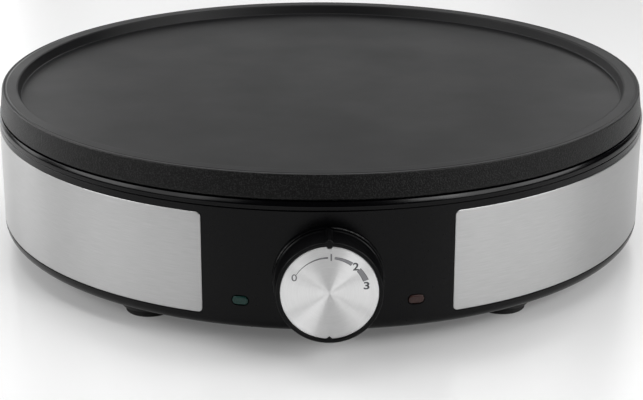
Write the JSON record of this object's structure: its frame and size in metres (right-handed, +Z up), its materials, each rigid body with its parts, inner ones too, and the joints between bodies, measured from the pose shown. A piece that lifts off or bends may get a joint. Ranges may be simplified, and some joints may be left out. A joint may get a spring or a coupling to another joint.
{
  "type": "electric crepe maker",
  "caption": "Electric crepe maker: round coated hot plate with a raised rim on a low round housing with steel side panels, a thermostat knob and pilot lamps.",
  "frame": {"origin": "centre of the footprint on the table, under the hot plate's axis", "axes": "+Z up, knob towards -Y, cord inlet towards +Y, +X to the right seen from the front"},
  "size_m": [0.3224, 0.3536, 0.08],
  "materials": {
    "coated_plate": "cast aluminium with a dark non-stick coating",
    "element_steel": "heat-dulled steel sheath",
    "ceramic_white": null,
    "terminal_steel": "plain steel",
    "dish_steel": "bright pressed sheet",
    "zinc_steel": "bright zinc plating",
    "housing_black": "satin black moulded plastic",
    "panel_steel": "horizontal brushing",
    "inner_plastic": "moulded plastic",
    "foot_plastic": "moulded black plastic",
    "pad_rubber": "soft black rubber",
    "dial_metal": "circular brushing with a printed dial",
    "copper_alloy": "spring alloy",
    "bimetal": "rolled strip",
    "green_tint": "tinted translucent plastic",
    "red_tint": "tinted translucent plastic",
    "lamp_glass": "clear glass capsule",
    "sleeve_fabric": "varnished glass-fibre sleeve",
    "block_plastic": "natural white plastic",
    "brass_plain": "turned brass",
    "lead_brown": "silicone insulation",
    "lead_blue": "silicone insulation",
    "lead_white": "silicone insulation",
    "lead_green": "silicone insulation"
  },
  "bodies": {
    "base": {"hot_plate": "coated_plate", "heating_element": "element_steel", "element_bushes": "ceramic_white", "element_terminals": "terminal_steel", "element_clamps": "dish_steel", "reflector_dish": "dish_steel", "plate_pillars": "zinc_steel", "pillar_washers": "ceramic_white", "plate_screws": "zinc_steel", "casting_screws": "zinc_steel", "housing": "housing_black", "bezel_ring": "housing_black", "left_panel": "panel_steel", "right_panel": "panel_steel", "base_cover": "inner_plastic", "cover_screws": "zinc_steel", "feet": "foot_plastic", "foot_pads": "pad_rubber", "foot_screws": "zinc_steel", "thermostat_bracket": "zinc_steel", "thermostat_frame": "zinc_steel", "thermostat_nut": "zinc_steel", "thermostat_wafers": "ceramic_white", "contact_leaf": "copper_alloy", "fixed_leaf": "copper_alloy", "bimetal_strip": "bimetal", "contact_points": "terminal_steel", "bimetal_pin": "ceramic_white", "stack_rivet": "zinc_steel", "green_lens": "green_tint", "red_lens": "red_tint", "green_lamp": "lamp_glass", "red_lamp": "lamp_glass", "lamp_holders": "inner_plastic", "post_screws": "zinc_steel", "thermal_fuse": "terminal_steel", "fuse_sleeve": "sleeve_fabric", "fuse_strap": "zinc_steel", "earth_tag": "terminal_steel", "terminal_block": "block_plastic", "block_inserts": "brass_plain", "block_wire_screws": "zinc_steel", "cord_gland": "housing_black", "gland_nut": "inner_plastic", "cord_clamp": "inner_plastic", "spade_connectors": "terminal_steel", "live_lead": "lead_brown", "neutral_lead": "lead_blue", "switched_lead": "lead_brown", "fuse_lead": "lead_white", "earth_lead": "lead_green", "lamp_leads": "lead_white"},
    "knob": {"knob_body": "housing_black", "knob_disc": "dial_metal", "knob_clip": "zinc_steel", "spindle": "zinc_steel", "spindle_clip": "zinc_steel"},
    "slider": {"thermostat_slider": "ceramic_white"}
  },
  "joints": [
    {"name": "knob_turn", "type": "hinge", "parent": "base", "child": "knob", "pos_m": [0, -0.16, 0.0334], "axis": [0, -1, 0], "range_deg": [-65, 78]},
    {"name": "slider_travel", "type": "slide", "parent": "base", "child": "slider", "axis": [0, 1, 0], "range_m": [-0.00037, 0.00044]}
  ],
  "couplings": [
    {"joint": "slider_travel", "follows": "knob_turn", "m_per_rad": 0.000318}
  ]
}
